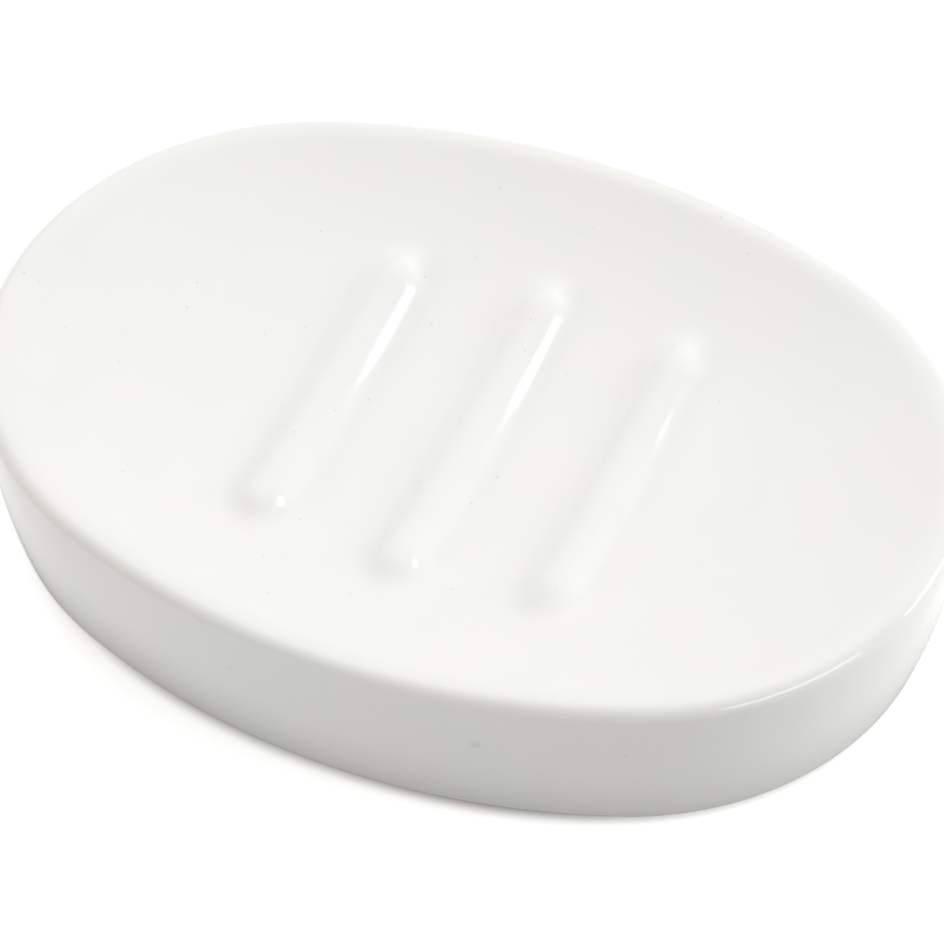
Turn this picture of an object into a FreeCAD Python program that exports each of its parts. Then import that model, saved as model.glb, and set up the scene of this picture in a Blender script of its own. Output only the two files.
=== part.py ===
import FreeCAD, Part
import math
import os

# An oval ceramic soap dish: one glazed casting that stands on four non-slip pads.
# Millimetres. X runs along the length, Y across the width and Z up.
# The origin is under the middle of the dish, on the surface that the pads stand on.

# Outline of the casting at its widest: an oval of two round ends and two flatter sides.
dish_length = 140.0
dish_width = 103.0
side_radius = 108.0

# Outer wall: plumb under the rim, and curved inwards down to the foot.
casting_height = 26.2
wall_lean = 3.6
rim_radius = 1.9
foot_radius = 1.8

# Soap well: a shallow bowl that steepens towards the rim.
rim_width = 3.2
well_depth = 9.0
well_lip_radius = 5.0
well_steepness_share = 2.4
well_section_shares = (0.2, 0.4, 0.58, 0.74, 0.88, 1.0, 1.06)

# Drain ribs: rounded bars across the width that follow the bottom of the well.
rib_spacing = 21.3
rib_height = 2.7
rib_crest_radius = 3.8
rib_root_radius = 3.6
rib_nose_length = 6.5
rib_end_inset = 27.8

# Hollow underside inside the foot ring.
foot_width = 9.0
recess_depth = 11.0
recess_draft_angle = 8.0
recess_corner_radius = 4.0
foot_inner_radius = 1.0

# Non-slip pads on the foot ring, die-cut with a bevelled edge.
pad_diameter = 6.0
pad_thickness = 1.0
pad_bevel = 0.35
pad_reach = 37.0

# The length by which a cutting solid runs past the face that it opens.
overrun = 2.0

# How near a face an edge's middle has to be to count as lying on it.
touch_tolerance = 0.01

foot_level = pad_thickness
rim_level = foot_level + casting_height
shoulder_level = rim_level - rim_radius
half_length = dish_length / 2
half_width = dish_width / 2

# The end arcs meet the side arcs in line, so the sides' radius settles theirs.
end_radius = (side_radius * dish_width - half_length**2 - half_width**2) / (2 * (side_radius - half_length))
end_centre = half_length - end_radius
side_centre = side_radius - half_width
end_half_angle = math.degrees(math.atan2(side_centre, end_centre))


def direction(angle):
    return FreeCAD.Vector(math.cos(math.radians(angle)), math.sin(math.radians(angle)), 0)


def oval(long_half, short_half, round_end, level):
    """Closed wire of four arcs that meet in line: the ends on X, the sides on Y."""
    centre_x = long_half - round_end
    radius = (centre_x**2 + short_half**2 - round_end**2) / (2 * (short_half - round_end))
    centre_y = radius - short_half
    meet_x = centre_x * radius / (radius - round_end)
    meet_y = centre_y * round_end / (radius - round_end)
    corners = [
        FreeCAD.Vector(meet_x, -meet_y, level),
        FreeCAD.Vector(meet_x, meet_y, level),
        FreeCAD.Vector(-meet_x, meet_y, level),
        FreeCAD.Vector(-meet_x, -meet_y, level),
    ]
    middles = [
        FreeCAD.Vector(long_half, 0, level),
        FreeCAD.Vector(0, short_half, level),
        FreeCAD.Vector(-long_half, 0, level),
        FreeCAD.Vector(0, -short_half, level),
    ]
    return Part.Wire([Part.Arc(corners[i], middles[i], corners[(i + 1) % 4]).toShape() for i in range(4)])


def rim_oval(inset, level):
    """The dish's outline moved in by the same inset all round."""
    return oval(half_length - inset, half_width - inset, end_radius - inset, level)


def side_arc_y(x, inset):
    """How far out the outline's long side lies at x, moved in by the inset."""
    return math.sqrt((side_radius - inset)**2 - x**2) - side_centre


def on_surface(edge, shell):
    middle = edge.valueAt((edge.FirstParameter + edge.LastParameter) / 2)
    return Part.Vertex(middle).distToShape(shell)[0] < touch_tolerance


def level_edges(shape, level):
    return [
        edge for edge in shape.Edges
        if abs(edge.BoundBox.ZMin - level) < touch_tolerance
        and abs(edge.BoundBox.ZMax - level) < touch_tolerance
    ]


def wall_curves():
    """The wall's profile as arcs: centre's inset, centre's level, radius, first and last angle."""
    drop = shoulder_level - foot_level
    wall_radius = (drop**2 + wall_lean**2) / (2 * wall_lean)
    foot_drop = drop - foot_radius
    wall_turn = math.degrees(math.asin(foot_drop / (wall_radius - foot_radius)))
    foot_inset = wall_radius - math.sqrt((wall_radius - foot_radius)**2 - foot_drop**2)
    return [
        (rim_radius, shoulder_level, rim_radius, 90, 0),
        (wall_radius, shoulder_level, wall_radius, 0, -wall_turn),
        (foot_inset, foot_level + foot_radius, foot_radius, -wall_turn, -90),
    ]


def wall_sector(centre, arc_radius, first_angle, last_angle, thickness):
    """A stretch of the wall and what is behind it, turned about the centre of one arc of the oval."""
    def place(inset, level):
        return centre + direction(first_angle) * (arc_radius - inset) + FreeCAD.Vector(0, 0, level)

    def on_arc(inset, level, radius, angle):
        turned = direction(angle)
        return place(inset - radius * turned.x, level + radius * turned.y)

    arcs = []
    for inset, level, radius, first, last in wall_curves():
        ends = [on_arc(inset, level, radius, angle) for angle in (first, (first + last) / 2, last)]
        arcs.append(Part.Arc(*ends).toShape())
    crest = arcs[0].Vertexes[0].Point
    sole = arcs[-1].Vertexes[-1].Point
    back = Part.makePolygon([sole, place(thickness, foot_level), place(thickness, rim_level), crest])
    section = Part.Face(Part.Wire(arcs + back.Edges))
    return section.revolve(centre, FreeCAD.Vector(0, 0, 1), last_angle - first_angle)


def outer_block():
    """The casting's outside as a full block: one wall profile carried round the oval."""
    thickness = end_radius / 2
    turn = end_half_angle
    sectors = [
        wall_sector(FreeCAD.Vector(end_centre, 0, 0), end_radius, -turn, turn, thickness),
        wall_sector(FreeCAD.Vector(0, -side_centre, 0), side_radius, turn, 180 - turn, thickness),
        wall_sector(FreeCAD.Vector(-end_centre, 0, 0), end_radius, 180 - turn, 180 + turn, thickness),
        wall_sector(FreeCAD.Vector(0, side_centre, 0), side_radius, 180 + turn, 360 - turn, thickness),
    ]
    core = Part.Face(rim_oval(thickness, foot_level)).extrude(FreeCAD.Vector(0, 0, casting_height))
    return core.multiFuse(sectors).removeSplitter()


def well_level(share):
    """Height of the well's surface at a share of the way from its middle to its mouth."""
    return rim_level - well_depth + well_depth * share**well_steepness_share


def well_level_at(x, y):
    return well_level(math.hypot(x / (half_length - rim_width), y / (half_width - rim_width)))


def well_cutter():
    sections = []
    for share in well_section_shares:
        long_half = (half_length - rim_width) * share
        short_half = (half_width - rim_width) * share
        sections.append(oval(long_half, short_half, (end_radius - rim_width) * share, well_level(share)))
    return Part.makeLoft(sections, True, False)


def drain_rib(x):
    """A round bar with drawn-out round noses, bent along the well's bottom and part sunk into it."""
    sink = rib_crest_radius - rib_height
    reach = side_arc_y(x, rib_end_inset)
    middle_level = well_level_at(x, 0) - sink
    end_level = well_level_at(x, reach) - sink
    rise = end_level - middle_level
    bend_radius = (reach**2 + rise**2) / (2 * rise)
    bend_centre = FreeCAD.Vector(x, 0, middle_level + bend_radius)
    half_bend = math.asin(reach / bend_radius)

    noses = []
    for side in (-1, 1):
        middle = FreeCAD.Vector(x, side * reach, end_level)
        outwards = FreeCAD.Vector(0, side * math.cos(half_bend), math.sin(half_bend))
        tip = middle + outwards * rib_nose_length
        beside = middle + FreeCAD.Vector(rib_crest_radius, 0, 0)
        round_side = Part.ArcOfEllipse(Part.Ellipse(tip, beside, middle), 0, math.pi / 2).toShape()
        half_section = Part.Face(Part.Wire([round_side, *Part.makePolygon([beside, middle, tip]).Edges]))
        noses.append(half_section.revolve(middle, outwards, 360))

    start = FreeCAD.Vector(x, -reach, end_level)
    along_bar = FreeCAD.Vector(0, math.cos(half_bend), -math.sin(half_bend))
    round_section = Part.Face(Part.Wire(Part.makeCircle(rib_crest_radius, start, along_bar)))
    bar = round_section.revolve(bend_centre, FreeCAD.Vector(1, 0, 0), math.degrees(2 * half_bend))
    return bar.multiFuse(noses).removeSplitter()


def recess_cutter():
    """Hollow of the underside, narrower towards its ceiling, with rounded upper corners."""
    lean = math.tan(math.radians(recess_draft_angle))
    mouth_inset = wall_lean + foot_width
    ceiling_level = foot_level + recess_depth
    sections = [
        rim_oval(mouth_inset - overrun * lean, foot_level - overrun),
        rim_oval(mouth_inset + recess_depth * lean, ceiling_level),
    ]
    cutter = Part.makeLoft(sections, True, True)
    return cutter.makeFillet(recess_corner_radius, level_edges(cutter, ceiling_level))


def dish():
    block = outer_block()
    well = well_cutter()
    casting = block.cut(well)
    mouth = [edge for edge in level_edges(casting, rim_level) if on_surface(edge, well.Shells[0])]
    casting = casting.makeFillet(well_lip_radius, mouth)

    ribs = [drain_rib(place * rib_spacing) for place in (-1, 0, 1)]
    casting = casting.multiFuse(ribs)
    roots = [
        edge for edge in casting.Edges for rib in ribs
        if on_surface(edge, rib.Shells[0]) and on_surface(edge, well.Shells[0])
    ]
    casting = casting.makeFillet(rib_root_radius, roots)

    recess = recess_cutter()
    casting = casting.cut(recess)
    foot_inner = [edge for edge in level_edges(casting, foot_level) if on_surface(edge, recess.Shells[0])]
    return casting.makeFillet(foot_inner_radius, foot_inner)


def pad(x_side, y_side):
    """A thin round pad on the middle line of the foot's flat ring."""
    flat_outside = wall_curves()[-1][0]
    flat_inside = wall_lean + foot_width - foot_inner_radius
    pad_y = side_arc_y(pad_reach, (flat_outside + flat_inside) / 2)
    middle = FreeCAD.Vector(x_side * pad_reach, y_side * pad_y, 0)
    disc = Part.makeCylinder(pad_diameter / 2, pad_thickness, middle)
    return disc.makeChamfer(pad_bevel, level_edges(disc, 0))


os.makedirs("parts", exist_ok=True)
pieces = {"dish": dish()}
for y_side, y_name in ((-1, "front"), (1, "rear")):
    for x_side, x_name in ((-1, "left"), (1, "right")):
        pieces["pad_" + y_name + "_" + x_name] = pad(x_side, y_side)

for name, shape in pieces.items():
    shape.exportStep("parts/" + name + ".step")
    print(name, "valid", shape.isValid(), "solids", len(shape.Solids), "volume", round(shape.Volume))
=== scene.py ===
import bpy
import numpy as np
from mathutils import Matrix, Vector


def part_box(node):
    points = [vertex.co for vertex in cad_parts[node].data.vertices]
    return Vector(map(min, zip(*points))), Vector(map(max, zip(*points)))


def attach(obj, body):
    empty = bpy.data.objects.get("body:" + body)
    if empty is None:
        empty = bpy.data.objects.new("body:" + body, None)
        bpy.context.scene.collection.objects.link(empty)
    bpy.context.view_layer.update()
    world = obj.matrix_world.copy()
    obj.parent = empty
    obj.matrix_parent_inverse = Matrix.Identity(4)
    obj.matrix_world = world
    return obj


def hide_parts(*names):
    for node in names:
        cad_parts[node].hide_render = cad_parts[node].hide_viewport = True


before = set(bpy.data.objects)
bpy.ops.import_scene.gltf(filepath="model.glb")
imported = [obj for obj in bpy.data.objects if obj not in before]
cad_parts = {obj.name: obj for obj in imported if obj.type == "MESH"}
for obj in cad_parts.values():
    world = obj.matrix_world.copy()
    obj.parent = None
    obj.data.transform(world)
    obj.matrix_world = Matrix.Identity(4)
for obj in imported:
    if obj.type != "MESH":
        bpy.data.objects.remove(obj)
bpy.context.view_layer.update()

# The casting's outside
# White earthenware, cast in a plaster mould. The outline is an oval of four arcs that meet in line.
# The wall drops plumb from a rolled rim and draws in to a foot, hollow inside so that the clay fires evenly.
half_length, half_width = 0.070, 0.0515
side_radius = 0.108
rim_level, rim_radius = 0.0272, 0.0019
wall_lean = 0.0036
foot_level, foot_radius, foot_width, foot_inner_radius = 0.001, 0.0018, 0.009, 0.001
recess_level, recess_corner_radius, recess_draft = 0.012, 0.004, np.radians(8)
rim_steps, wall_steps, foot_steps, foot_inner_steps, recess_corner_steps = 14, 14, 10, 6, 8

end_radius = 2 * side_radius * half_width - half_length**2 - half_width**2
end_radius /= 2 * (side_radius - half_length)
end_centre = half_length - end_radius
side_centre = side_radius - half_width
end_half_turn = np.arctan2(side_centre, end_centre)


def oval(turn, inset):
    """The outline moved in by the inset, at the point whose normal points along turn.
    It is the centre of the arc that owns that direction, plus that arc's radius less the inset."""
    along, across = np.cos(turn), np.sin(turn)
    on_end = np.abs(across) * end_centre < np.abs(along) * side_centre
    centre_x = np.where(on_end, np.sign(along) * end_centre, 0)
    centre_y = np.where(on_end, 0, -np.sign(across) * side_centre)
    reach = np.where(on_end, end_radius, side_radius) - inset
    return centre_x + reach * along, centre_y + reach * across


def bend(centre, radius, first, last, steps):
    """Points of an arc in the section, as inset and level: its centre plus its radius along an angle."""
    angle = np.linspace(first, last, steps + 1)
    return np.stack([centre[0] + radius * np.cos(angle), centre[1] + radius * np.sin(angle)], axis=-1)


def wall_section():
    """The section from the rim's crest down the wall, under the foot and up to the recess's ceiling.
    Five arcs follow each other in line, with straight runs between the last three: the rim, the wall,
    the foot's outer edge, its inner edge, and the corner between the recess's wall and its ceiling."""
    shoulder = rim_level - rim_radius
    drop = shoulder - foot_level
    wall_radius = (drop**2 + wall_lean**2) / (2 * wall_lean)
    foot_drop = drop - foot_radius
    wall_turn = np.arcsin(foot_drop / (wall_radius - foot_radius))
    foot_inset = wall_radius - np.sqrt((wall_radius - foot_radius)**2 - foot_drop**2)
    mouth = wall_lean + foot_width
    lean_x, lean_z = np.sin(recess_draft), np.cos(recess_draft)
    edge_run = foot_inner_radius * (1 - lean_x) / lean_z
    edge_centre = (mouth + edge_run * lean_x - foot_inner_radius * lean_z, foot_level + foot_inner_radius)
    corner_level = recess_level - recess_corner_radius
    corner_run = (corner_level - foot_level + recess_corner_radius * lean_x) / lean_z
    corner_centre = (mouth + corner_run * lean_x + recess_corner_radius * lean_z, corner_level)
    up, out, down = np.pi / 2, np.pi, 3 * np.pi / 2
    return np.concatenate([
        bend((rim_radius, shoulder), rim_radius, up, out, rim_steps)[1:],
        bend((wall_radius, shoulder), wall_radius, out, out + wall_turn, wall_steps)[1:],
        bend((foot_inset, foot_level + foot_radius), foot_radius, out + wall_turn, down, foot_steps)[1:],
        bend(edge_centre, foot_inner_radius, -up, -recess_draft, foot_inner_steps),
        bend(corner_centre, recess_corner_radius, out - recess_draft, up, recess_corner_steps),
    ])


# The soap well
# A shallow bowl in the top of the same casting: its level sets are ovals of the rim's own shape,
# and it rises with a power of the distance from its middle, so that it is flat below and steep at the lip.
rim_width, well_depth, well_steepness = 0.0032, 0.009, 2.4
lip_softness = 0.0005
mouth_end_radius, mouth_side_radius = end_radius - rim_width, side_radius - rim_width
arcs_meet = np.array([end_centre * mouth_side_radius, side_centre * mouth_end_radius])


def well_share(x, y):
    """Size of the oval, shaped like the well's mouth, that goes through a point: 0 in the middle, 1 at
    the mouth. It solves the circle of the arc that owns the point, centre and radius both scaled by it."""
    x, y = np.abs(x), np.abs(y)
    on_end = y * arcs_meet[0] < x * arcs_meet[1]
    lean = np.where(on_end, x * end_centre, -y * side_centre)
    spare = np.where(on_end, mouth_end_radius**2 - end_centre**2, mouth_side_radius**2 - side_centre**2)
    return (np.sqrt(lean**2 + spare * (x**2 + y**2)) - lean) / spare


# The drain ribs
# Three rounded bars in the bowl that lift the soap off the water. They belong to the casting, follow its
# bottom to their drawn-out noses, and end in a hollow root that the glaze softens more to the right.
rib_places, rib_spacing, rib_end_inset = (-1, 0, 1), 0.0213, 0.0278
rib_height, rib_crest_radius, rib_root_radius, rib_nose_length = 0.0027, 0.0038, 0.0036, 0.0065
glaze_roundings, rounding_samples = (0.00035, 0.0005, 0.0009), 7


def rib_section(off):
    """Height across a rib: a circle's top near the middle line, a hollow arc that meets it in line,
    then nothing."""
    both = rib_crest_radius + rib_root_radius
    turn = np.arccos(1 - rib_height / both)
    crest = np.sqrt(np.maximum(rib_crest_radius**2 - off**2, 0)) - rib_crest_radius + rib_height
    fall = np.clip(both * np.sin(turn) - off, 0, rib_root_radius)
    root = rib_root_radius - np.sqrt(rib_root_radius**2 - fall**2)
    return np.where(off < rib_crest_radius * np.sin(turn), crest, root)


def rib_rise(x, y):
    """Height of the ribs over the bowl. It only depends on the way off a rib's middle line, which counts
    for less past the line's ends, and it is averaged over a small width, as the glaze evens it out."""
    rise = np.zeros_like(x)
    for place, glaze_rounding in zip(rib_places, glaze_roundings):
        rib_x = place * rib_spacing
        reach = np.sqrt((side_radius - rib_end_inset)**2 - rib_x**2) - side_centre
        past_end = np.maximum(np.abs(y) - reach, 0) * rib_crest_radius / rib_nose_length
        off = np.hypot(x - rib_x, past_end)
        for shift in glaze_rounding * np.linspace(-1, 1, rounding_samples):
            rise += rib_section(np.abs(off + shift)) / rounding_samples
    return rise


def top_level(x, y):
    """Level of the upper side: the lower of the rim's crest and the bowl, plus the ribs.
    Where crest and bowl come near each other, a parabola that meets both in line rounds the lip."""
    bowl = rim_level - well_depth + well_depth * well_share(x, y)**well_steepness
    lip = np.maximum(lip_softness - np.abs(rim_level - bowl), 0)**2 / (4 * lip_softness)
    return np.minimum(rim_level, bowl) - lip + rib_rise(x, y)


# The whole casting
# All of it is one closed skin: a four-sided patch in the middle of the bowl, rings from there
# over the lip, rim, wall and foot into the recess, and a flat ceiling that closes on one point.
patch_count, bowl_rings, ceiling_rings = 120, 58, 10
patch_share, patch_roundness = 0.55, 0.6


def around():
    """Directions of the outline's normals, the same number on each of its four arcs,
    from the front right corner."""
    quarter = np.arange(patch_count) / patch_count
    end_turns = (2 * quarter - 1) * end_half_turn
    side_turns = end_half_turn + quarter * (np.pi - 2 * end_half_turn)
    return np.concatenate([end_turns, side_turns, end_turns + np.pi, side_turns + np.pi])


def patch_edge(turns):
    """The patch's closed edge: a share of the way out to the well's mouth, where the mouth is taken
    partly round, as it is, and partly as the four straight chords between the ends of its arcs."""
    edge = []
    for mouth in oval(turns, rim_width):
        corners = np.append(mouth[::patch_count], mouth[0])
        chords = np.interp(np.arange(len(turns)), np.arange(len(corners)) * patch_count, corners)
        edge.append(patch_share * (patch_roundness * mouth + (1 - patch_roundness) * chords))
    return edge


def bowl_patch(edge_x, edge_y):
    """Grid between four curved sides: each pair of sides is blended across, and the corners' own blend
    taken off."""
    edge = np.stack([edge_x, edge_y], -1)
    sides = [np.roll(edge, -patch_count * side, axis=0)[:patch_count + 1] for side in range(4)]
    right, rear, left, front = sides[0], sides[1][::-1], sides[2][::-1], sides[3]
    to_right = np.linspace(0, 1, patch_count + 1)[:, None, None]
    to_rear = np.linspace(0, 1, patch_count + 1)[None, :, None]
    across = (1 - to_right) * left[None] + to_right * right[None]
    along = (1 - to_rear) * front[:, None] + to_rear * rear[:, None]
    left_corners = (1 - to_rear) * left[0] + to_rear * left[-1]
    right_corners = (1 - to_rear) * right[0] + to_rear * right[-1]
    return across + along - ((1 - to_right) * left_corners + to_right * right_corners)


def casting_rings(turns, edge_x, edge_y):
    """Rings from the patch's edge outwards. In the bowl each is a share of the way from the edge to the rim's
    crest, on the wall the outline moved in as the section says, and on the ceiling a share of its border."""
    crest_x, crest_y = oval(turns, rim_radius)
    out = (np.arange(1, bowl_rings + 1) / bowl_rings)[:, None]
    bowl_x = edge_x + out * (crest_x - edge_x)
    bowl_y = edge_y + out * (crest_y - edge_y)
    section = wall_section()
    wall_x, wall_y = oval(turns[None], section[:, :1])
    wall_level = np.broadcast_to(section[:, 1:], wall_x.shape)
    inwards = (np.arange(ceiling_rings - 1, 0, -1) / ceiling_rings)[:, None]
    ceiling_x, ceiling_y = inwards * wall_x[-1], inwards * wall_y[-1]
    return np.concatenate([
        np.stack([bowl_x, bowl_y, top_level(bowl_x, bowl_y)], -1),
        np.stack([wall_x, wall_y, wall_level], -1),
        np.stack([ceiling_x, ceiling_y, np.full(ceiling_x.shape, recess_level)], -1),
    ])


def casting_faces(ring_count):
    """Four-sided faces of the patch and between the rings, and a fan of triangles round the last point."""
    ids = np.arange((patch_count + 1)**2).reshape(patch_count + 1, patch_count + 1)
    patch_faces = np.stack([ids[:-1, :-1], ids[1:, :-1], ids[1:, 1:], ids[:-1, 1:]], -1).reshape(-1, 4)
    border = np.concatenate([ids[-1, :-1], ids[:0:-1, -1], ids[0, :0:-1], ids[:-1, 0]])
    ring_ids = ids.size + np.arange(ring_count * len(border)).reshape(ring_count, -1)
    ring_ids = np.concatenate([border[None], ring_ids])
    ahead = np.roll(ring_ids, -1, axis=1)
    ring_faces = np.stack([ring_ids[:-1], ring_ids[1:], ahead[1:], ahead[:-1]], -1).reshape(-1, 4)
    pole = np.full(len(border), ring_ids[-1, -1] + 1)
    fan = np.stack([ring_ids[-1], pole, ahead[-1]], -1)
    return patch_faces.tolist() + ring_faces.tolist() + fan.tolist()


def casting_skin():
    """Points and faces of the closed skin, in metres: the patch, the rings and the ceiling's middle point."""
    turns = around()
    edge_x, edge_y = patch_edge(turns)
    patch = bowl_patch(edge_x, edge_y).reshape(-1, 2)
    rings = casting_rings(turns, edge_x, edge_y)
    patch_level = top_level(patch[:, 0], patch[:, 1])
    middle = [[0, 0, recess_level]]
    points = np.concatenate([np.column_stack([patch, patch_level]), rings.reshape(-1, 3), middle])
    return points, casting_faces(len(rings))


def make_piece(name, points, faces, material, slot, node):
    """One smooth mesh object that rides on the dish's only body and stands for a node of the solid model."""
    mesh = bpy.data.meshes.new(name)
    mesh.from_pydata(points.tolist(), [], faces)
    mesh.polygons.foreach_set("use_smooth", np.ones(len(mesh.polygons), bool))
    mesh.materials.append(material)
    mesh.update()
    piece = bpy.data.objects.new(name, mesh)
    bpy.context.collection.objects.link(piece)
    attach(piece, "root")
    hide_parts(node)


# The glaze and the bare foot
# A glossy white glaze, dipped and fired: it is a little uneven in thickness, has a few pinholes and one dent,
# both darkened with painted shade, and is wiped off the foot before firing, where the dry clay shows below a
# thin warm line.
glaze_white, glaze_warm = (0.87, 0.875, 0.867, 1), (0.88, 0.874, 0.858, 1)
glaze_thick, thick_glaze_strength = (0.85, 0.863, 0.854, 1), 0.5
glaze_roughness, glaze_ior = (0.05, 0.09), 1.5
clay_colour, clay_dark, clay_roughness = (0.74, 0.70, 0.62, 1), (0.66, 0.61, 0.53, 1), 0.85
glaze_line_colour = (0.72, 0.64, 0.52, 1)
glaze_line_levels, bare_clay_levels = (0.0019, 0.0015), (0.00145, 0.0013)
glaze_edge_wander, glaze_edge_wander_size = 0.0005, 0.003
pinhole_spacing, pinhole_radius, pinhole_floor_share = 0.0045, 0.00025, 0.5
# Painted shade: the pinholes and the dent are darkened in their colour, by these shares of a dark grey.
flaw_painted_shade_colour, pinhole_painted_shade, pinhole_dullness = (0.40, 0.38, 0.35, 1), 0.34, 0.6
dent_middle, dent_radius, dent_floor_share, dent_painted_shade = (0.0216, -0.0490, 0.0180), 0.0010, 0.3, 0.22

# Each pattern's blotch size in metres, and the stretch of its values, which run from 0 to 1, that counts.
cloud_size, cloud_stretch = 0.030, (0.35, 0.65)
thick_size, thick_stretch = 0.012, (0.40, 0.75)
gloss_size, gloss_stretch = 0.008, (0.3, 0.7)
speckle_size, speckle_stretch = 0.0012, (0.45, 0.7)

# The relief's heights in thousandths of a millimetre, and the sizes of its bumps in metres.
wave_height, wave_size = 26.0, 0.011
peel_height, peel_size = 2.2, 0.0024
grain_height, grain_size = 60.0, 0.00035
pinhole_depth, dent_depth = 20.0, 70.0
relief_unit = 1e-6


class Finish:
    """A material whose nodes are added one by one, on the object's own coordinates."""

    def __init__(self, name):
        self.material = bpy.data.materials.new(name)
        self.material.use_nodes = True
        self.tree = self.material.node_tree
        self.shader = self.tree.nodes["Principled BSDF"]
        self.place = self.add("ShaderNodeTexCoord").outputs["Object"]

    def add(self, kind, **settings):
        """A node with its settings, and its inputs by their names or by their numbers as i0, i1 and so on.
        An input takes a value or another node's output."""
        node = self.tree.nodes.new(kind)
        for key, value in settings.items():
            if key[1:].isdigit():
                self.feed(node.inputs[int(key[1:])], value)
            elif key.title() in node.inputs:
                self.feed(node.inputs[key.title()], value)
            else:
                setattr(node, key, value)
        return node

    def feed(self, socket, value):
        """Links another node's output to the socket, or sets the value on it."""
        if isinstance(value, bpy.types.NodeSocket):
            self.tree.links.new(value, socket)
        else:
            socket.default_value = value

    def noise(self, size, detail=2.0, roughness=0.5):
        """Cloudy values from 0 to 1 whose blotches are about the size given, in metres."""
        pattern = {"vector": self.place, "scale": 1 / size, "detail": detail, "roughness": roughness}
        return self.add("ShaderNodeTexNoise", **pattern).outputs["Fac"]

    def combine(self, operation, first, second=0.0):
        """One number from two, by the operation named."""
        return self.add("ShaderNodeMath", operation=operation, i0=first, i1=second).outputs[0]

    def ramp(self, value, low, high, to_low=0.0, to_high=1.0):
        """The value's stretch from low to high, laid smoothly onto another range."""
        node = self.add("ShaderNodeMapRange", interpolation_type="SMOOTHSTEP", value=value)
        for socket, number in zip(node.inputs[1:5], (low, high, to_low, to_high)):
            socket.default_value = number
        return node.outputs[0]

    def mix(self, share, first, second):
        """A colour between two others."""
        node = self.add("ShaderNodeMix", data_type="RGBA")
        for socket, value in zip((node.inputs[0], node.inputs[6], node.inputs[7]), (share, first, second)):
            self.feed(socket, value)
        return node.outputs[2]

    def relief(self, height):
        """Bump on the whole surface, from a height in thousandths of a millimetre."""
        bump = self.add("ShaderNodeBump", strength=1.0, distance=relief_unit, height=height)
        self.feed(self.shader.inputs["Normal"], bump.outputs["Normal"])


def foot_masks(finish):
    """Where the glaze is wiped off, and the warm line above that: both by the level, less a noise
    that lets their edges wander."""
    level = finish.add("ShaderNodeSeparateXYZ", vector=finish.place).outputs["Z"]
    wander = finish.combine("MULTIPLY", finish.noise(glaze_edge_wander_size, detail=3), glaze_edge_wander)
    edge = finish.combine("SUBTRACT", level, wander)
    bare = finish.ramp(edge, *bare_clay_levels)
    line = finish.combine("SUBTRACT", finish.ramp(edge, *glaze_line_levels), bare)
    return bare, line


def flaw_masks(finish):
    """Pinholes, each round the middle of a cell of a Voronoi pattern, and the one dent: both by how far
    it is to the flaw's middle, from none at its radius to full at its floor's."""
    cells = finish.add("ShaderNodeTexVoronoi", vector=finish.place, scale=1 / pinhole_spacing)
    pit_share = pinhole_radius / pinhole_spacing
    pit = finish.ramp(cells.outputs["Distance"], pit_share, pinhole_floor_share * pit_share)
    away = finish.add("ShaderNodeVectorMath", operation="DISTANCE", i0=finish.place, i1=dent_middle)
    dent = finish.ramp(away.outputs["Value"], dent_radius, dent_floor_share * dent_radius)
    return pit, dent


def glazed_finish():
    """White glaze in three tones, with flaws darkened by painted shade, a warm edge line and the bare clay
    below it.
    """
    finish = Finish("glazed_casting")
    bare, line = foot_masks(finish)
    pit, dent = flaw_masks(finish)
    cloud = finish.ramp(finish.noise(cloud_size), *cloud_stretch)
    thick = finish.ramp(finish.noise(thick_size), *thick_stretch)
    colour = finish.mix(cloud, glaze_white, glaze_warm)
    colour = finish.mix(finish.combine("MULTIPLY", thick, thick_glaze_strength), colour, glaze_thick)
    # Painted shade in the pinholes and the dent, mixed into the glaze's colour.
    colour = finish.mix(finish.combine("MULTIPLY", pit, pinhole_painted_shade), colour, flaw_painted_shade_colour)
    colour = finish.mix(finish.combine("MULTIPLY", dent, dent_painted_shade), colour, flaw_painted_shade_colour)
    colour = finish.mix(line, colour, glaze_line_colour)
    speckle = finish.ramp(finish.noise(speckle_size, detail=4, roughness=0.7), *speckle_stretch)
    clay = finish.mix(speckle, clay_colour, clay_dark)
    finish.feed(finish.shader.inputs["Base Color"], finish.mix(bare, colour, clay))

    gloss = finish.ramp(finish.noise(gloss_size, detail=3), *gloss_stretch, *glaze_roughness)
    dull = finish.combine("MAXIMUM", bare, finish.combine("MULTIPLY", pit, pinhole_dullness))
    rough = finish.add("ShaderNodeMix", data_type="FLOAT", i0=dull, i2=gloss, i3=clay_roughness).outputs[0]
    finish.feed(finish.shader.inputs["Roughness"], rough)
    finish.shader.inputs["IOR"].default_value = glaze_ior

    waves = finish.combine("MULTIPLY", finish.noise(wave_size, detail=1), wave_height)
    peel = finish.combine("MULTIPLY", finish.noise(peel_size, detail=1), peel_height)
    grain = finish.combine("MULTIPLY", finish.noise(grain_size, detail=3, roughness=0.7), grain_height)
    grain = finish.combine("MULTIPLY", grain, bare)
    height = finish.combine("ADD", finish.combine("ADD", waves, peel), grain)
    height = finish.combine("SUBTRACT", height, finish.combine("MULTIPLY", pit, pinhole_depth))
    height = finish.combine("SUBTRACT", height, finish.combine("MULTIPLY", dent, dent_depth))
    finish.relief(height)
    return finish.material


points, faces = casting_skin()
make_piece("dish_glazed", points, faces, glazed_finish(), "glazed_casting", "dish")

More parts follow.
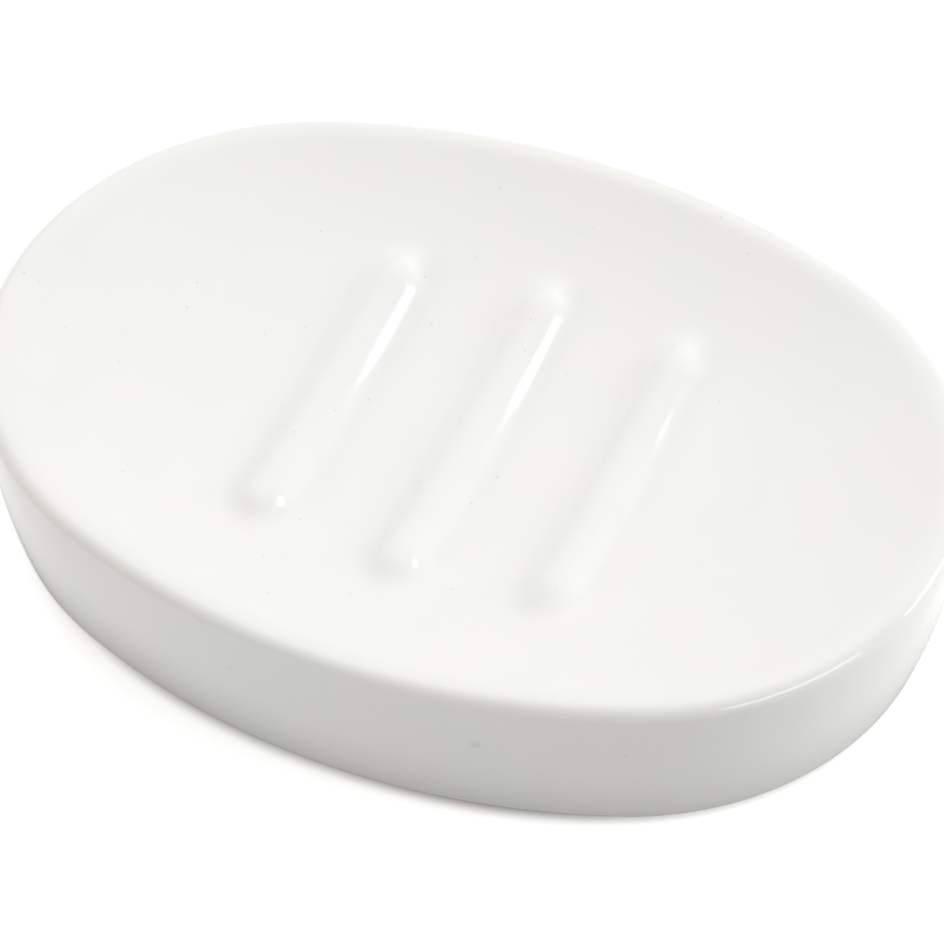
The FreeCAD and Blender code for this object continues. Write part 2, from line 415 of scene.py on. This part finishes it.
# The non-slip pads
# Four discs die-cut from milky silicone sheet with an adhesive film on the back,
# pressed onto the bare foot ring where it is flat.
pad_radius, pad_edge_radius, pad_back_edge_radius = 0.0030, 0.00030, 0.0001
pad_film_radius, pad_film_level, pad_back_ring = 0.00288, 0.00084, 0.0014
pad_hollow = np.array([[0, 0.00004], [0.0012, 0.00003], [0.0023, 0.00001]])
pad_count, pad_edge_steps, pad_back_edge_steps = 48, 6, 3
silicone_light, silicone_dark = (0.72, 0.72, 0.69, 1), (0.66, 0.66, 0.63, 1)
silicone_cloud_size, silicone_smear_size, silicone_stretch = 0.0015, 0.0006, (0.3, 0.7)
silicone_roughness, silicone_ior = (0.38, 0.55), 1.41
dust_colour, dust_strength, dust_size, dust_stretch = (0.50, 0.49, 0.46, 1), 0.35, 0.0003, (0.58, 0.75)
film_colour, film_fade = (0.70, 0.67, 0.57, 1), 0.00003
silicone_glow, silicone_glow_reach = 0.25, (0.0012, 0.0012, 0.0011)
silicone_grain_height, silicone_grain_size = 12.0, 0.0002


def pad_section():
    """Radius and level of the slightly hollow underside, an arc for the worn lower edge, a smaller one
    for the upper edge, and the film, which is set back a little, up to its flat back."""
    edge_middle = (pad_radius - pad_edge_radius, pad_edge_radius)
    edge = bend(edge_middle, pad_edge_radius, -np.pi / 2, 0, pad_edge_steps)
    back_middle = (pad_radius - pad_back_edge_radius, pad_film_level - pad_back_edge_radius)
    back_edge = bend(back_middle, pad_back_edge_radius, 0, np.pi / 2, pad_back_edge_steps)
    film = [[pad_film_radius, pad_film_level], [pad_film_radius, foot_level], [pad_back_ring, foot_level]]
    return np.concatenate([pad_hollow[1:], edge, back_edge, film])


def pad_skin(centre_x, centre_y):
    """The section turned about the pad's own middle, closed on one point below and one above."""
    section = pad_section()
    turn = np.arange(pad_count) * 2 * np.pi / pad_count
    x = centre_x + section[:, :1] * np.cos(turn)
    y = centre_y + section[:, :1] * np.sin(turn)
    rings = np.stack([x, y, np.broadcast_to(section[:, 1:], x.shape)], -1)
    poles = np.array([[centre_x, centre_y, pad_hollow[0, 1]], [centre_x, centre_y, foot_level]])
    ids = np.arange(x.size).reshape(x.shape)
    ahead = np.roll(ids, -1, axis=1)
    sides = np.stack([ids[:-1], ahead[:-1], ahead[1:], ids[1:]], -1).reshape(-1, 4)
    below = np.stack([ahead[0], ids[0], np.full(pad_count, x.size)], -1)
    above = np.stack([ids[-1], ahead[-1], np.full(pad_count, x.size + 1)], -1)
    return np.concatenate([rings.reshape(-1, 3), poles]), sides.tolist() + below.tolist() + above.tolist()


def silicone_finish():
    """Milky silicone with fine dust on it, and the yellower film from its own level up."""
    finish = Finish("non_slip_pad")
    level = finish.add("ShaderNodeSeparateXYZ", vector=finish.place).outputs["Z"]
    film = finish.ramp(level, pad_film_level - film_fade, pad_film_level)
    cloud = finish.ramp(finish.noise(silicone_cloud_size, detail=3), *silicone_stretch)
    milky = finish.mix(cloud, silicone_light, silicone_dark)
    dust = finish.ramp(finish.noise(dust_size, detail=4, roughness=0.7), *dust_stretch, to_high=dust_strength)
    milky = finish.mix(dust, milky, dust_colour)
    finish.feed(finish.shader.inputs["Base Color"], finish.mix(film, milky, film_colour))
    smear = finish.ramp(finish.noise(silicone_smear_size, detail=3), *silicone_stretch, *silicone_roughness)
    finish.feed(finish.shader.inputs["Roughness"], smear)
    finish.shader.inputs["IOR"].default_value = silicone_ior
    finish.shader.inputs["Subsurface Weight"].default_value = silicone_glow
    finish.shader.inputs["Subsurface Radius"].default_value = silicone_glow_reach
    finish.shader.inputs["Subsurface Scale"].default_value = 1.0
    grain = finish.combine("MULTIPLY", finish.noise(silicone_grain_size, detail=3), silicone_grain_height)
    finish.relief(grain)
    return finish.material


silicone = silicone_finish()
for name in ("pad_front_left", "pad_front_right", "pad_rear_left", "pad_rear_right"):
    low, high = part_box(name)
    skin = pad_skin((low[0] + high[0]) / 2, (low[1] + high[1]) / 2)
    make_piece(name + "_silicone", *skin, silicone, "non_slip_pad", name)

# The table and the light
# The dish stands on a plain white table in a white room. Soft light falls on it from above, from behind
# and off the walls, the glaze mirrors the windows at its right, and the table keeps its shadow, with a
# painted shadow round the dish's outline that the glaze mirrors too.
table_size, table_colour, table_roughness, table_lift = 3.0, (0.60, 0.60, 0.60, 1), 0.9, 0.70
# Painted shadow: inside these shares of the dish's outline the table's lift fades out, for the camera and in
# what the glaze mirrors.
outline_power, painted_shadow_shares, mirrored_painted_shadow_shares = 2.18, (0.88, 0.95), (0.88, 1.10)
ambient, ambient_colour, white = 0.14, (1, 0.985, 0.92, 1), (1, 1, 1, 1)


def table_finish():
    """Plain white, with a painted shadow: the lift fades out under the dish's overhanging wall,
    and a little further out in what the glaze mirrors, a painted dark reflection. The share of the way to the
    dish's outline
    is that of an oval: the sum of both halves' powers, outline_power, and then that power's root."""
    finish = Finish("white_table")
    path = finish.add("ShaderNodeLightPath").outputs
    spot = finish.add("ShaderNodeSeparateXYZ", vector=finish.place).outputs
    powers = []
    for axis, half in (("X", half_length), ("Y", half_width)):
        way = finish.combine("ABSOLUTE", finish.combine("DIVIDE", spot[axis], half))
        powers.append(finish.combine("POWER", way, outline_power))
    share = finish.combine("POWER", finish.combine("ADD", *powers), 1 / outline_power)
    seen = finish.combine("MAXIMUM", path["Is Camera Ray"], path["Is Transmission Ray"])
    # Painted shadow: the lift fades out by the shape of the dish's outline, not by any light that the dish
    # blocks.
    seen = finish.combine("MULTIPLY", seen, finish.ramp(share, *painted_shadow_shares))
    mirrored = finish.combine("MULTIPLY", path["Is Glossy Ray"], finish.ramp(share, *mirrored_painted_shadow_shares))
    lift = finish.combine("MULTIPLY", finish.combine("MAXIMUM", seen, mirrored), table_lift)
    finish.shader.inputs["Base Color"].default_value = table_colour
    finish.shader.inputs["Roughness"].default_value = table_roughness
    finish.shader.inputs["Emission Color"].default_value = white
    finish.feed(finish.shader.inputs["Emission Strength"], lift)
    return finish.material


def white_surroundings():
    """White at full strength where it is seen, mirrored or shines through, and faint and a little warm
    in the light that it gives."""
    world = bpy.data.worlds.new("white_surroundings")
    world.use_nodes = True
    tree = world.node_tree
    path = tree.nodes.new("ShaderNodeLightPath")
    backdrop = tree.nodes["Background"]
    share = path.outputs["Is Camera Ray"]
    for name in ("Is Glossy Ray", "Is Transmission Ray"):
        either = tree.nodes.new("ShaderNodeMath")
        either.operation = "MAXIMUM"
        tree.links.new(share, either.inputs[0])
        tree.links.new(path.outputs[name], either.inputs[1])
        share = either.outputs[0]
    strength = tree.nodes.new("ShaderNodeMapRange")
    strength.inputs["To Min"].default_value = ambient
    tree.links.new(share, strength.inputs["Value"])
    tree.links.new(strength.outputs[0], backdrop.inputs["Strength"])
    colour = tree.nodes.new("ShaderNodeMix")
    colour.data_type = "RGBA"
    colour.inputs[6].default_value, colour.inputs[7].default_value = ambient_colour, white
    tree.links.new(share, colour.inputs[0])
    tree.links.new(colour.outputs[2], backdrop.inputs["Color"])
    bpy.context.scene.world = world


def softbox(name, towards, distance, size, watts, tint=(1, 1, 1), mirrored=False, lighting=True):
    """An area lamp seen from the dish along a direction, facing it. The glaze mirrors only the windows."""
    lamp = bpy.data.lights.new(name, "AREA")
    lamp.shape, lamp.size, lamp.size_y = "RECTANGLE", *size
    lamp.energy, lamp.color = watts, tint
    holder = bpy.data.objects.new(name, lamp)
    holder.location = Vector(towards).normalized() * distance
    holder.rotation_euler = Vector(towards).to_track_quat("Z", "Y").to_euler()
    holder.visible_glossy = mirrored
    holder.visible_diffuse = lighting
    bpy.context.collection.objects.link(holder)


edge = table_size / 2
table_mesh = bpy.data.meshes.new("table")
table_corners = [(-edge, -edge, 0), (edge, -edge, 0), (edge, edge, 0), (-edge, edge, 0)]
table_mesh.from_pydata(table_corners, [], [(0, 1, 2, 3)])
table_mesh.materials.append(table_finish())
table = bpy.data.objects.new("table", table_mesh)
bpy.context.collection.objects.link(table)
white_surroundings()
softbox("right_softbox", (0.57, 0.23, 0.79), 1.4, (1.4, 1.4), 13.9, (1, 0.99, 0.98))
softbox("rear_left_softbox", (-0.54, 0.54, 0.64), 1.3, (0.9, 0.8), 8.0)
softbox("left_front_wall", (-0.66, -0.66, 0.34), 1.3, (0.9, 0.5), 6.0, (1, 0.98, 0.94))
softbox("right_wall", (0.894, -0.290, 0.342), 1.3, (1.1, 0.4), 1.6)
softbox("low_window", (0.85, 0.47, 0.24), 1.2, (0.42, 0.38), 1.9, (0.95, 1, 1), mirrored=True)
softbox("window", (0.763, 0.515, 0.391), 1.2, (0.252, 0.295), 0.75, (0.93, 0.97, 1), mirrored=True)
softbox("right_window", (0.894, -0.290, 0.342), 1.25, (0.9, 0.34), 4.0, mirrored=True, lighting=False)

# The camera
# A long lens looks down at the dish from the front right, so close that the near end just runs out of view.
azimuth, elevation, roll = np.radians((22.40, 47.88, 0.93))
camera_distance, focal_pixels, frame_pixels, sensor_width = 0.8, 5622.0, 944, 36
aim = np.array([-0.00383, 0.00981, 0.001])

level_back = np.array([np.sin(azimuth), -np.cos(azimuth), 0])
back = np.cos(elevation) * level_back + np.array([0, 0, np.sin(elevation)])
right = np.array([np.cos(azimuth), np.sin(azimuth), 0])
up = np.cross(back, right)
rolled_right = np.cos(roll) * right + np.sin(roll) * up
rolled_up = np.cos(roll) * up - np.sin(roll) * right
turned = Matrix(np.column_stack([rolled_right, rolled_up, back]).tolist())
lens = bpy.data.cameras.new("camera")
lens.sensor_width = sensor_width
lens.lens = focal_pixels / frame_pixels * sensor_width
camera = bpy.data.objects.new("camera", lens)
camera.matrix_world = Matrix.Translation(Vector(aim + back * camera_distance)) @ turned.to_4x4()
bpy.context.collection.objects.link(camera)
bpy.context.scene.camera = camera
bpy.context.scene.view_settings.view_transform = "Standard"
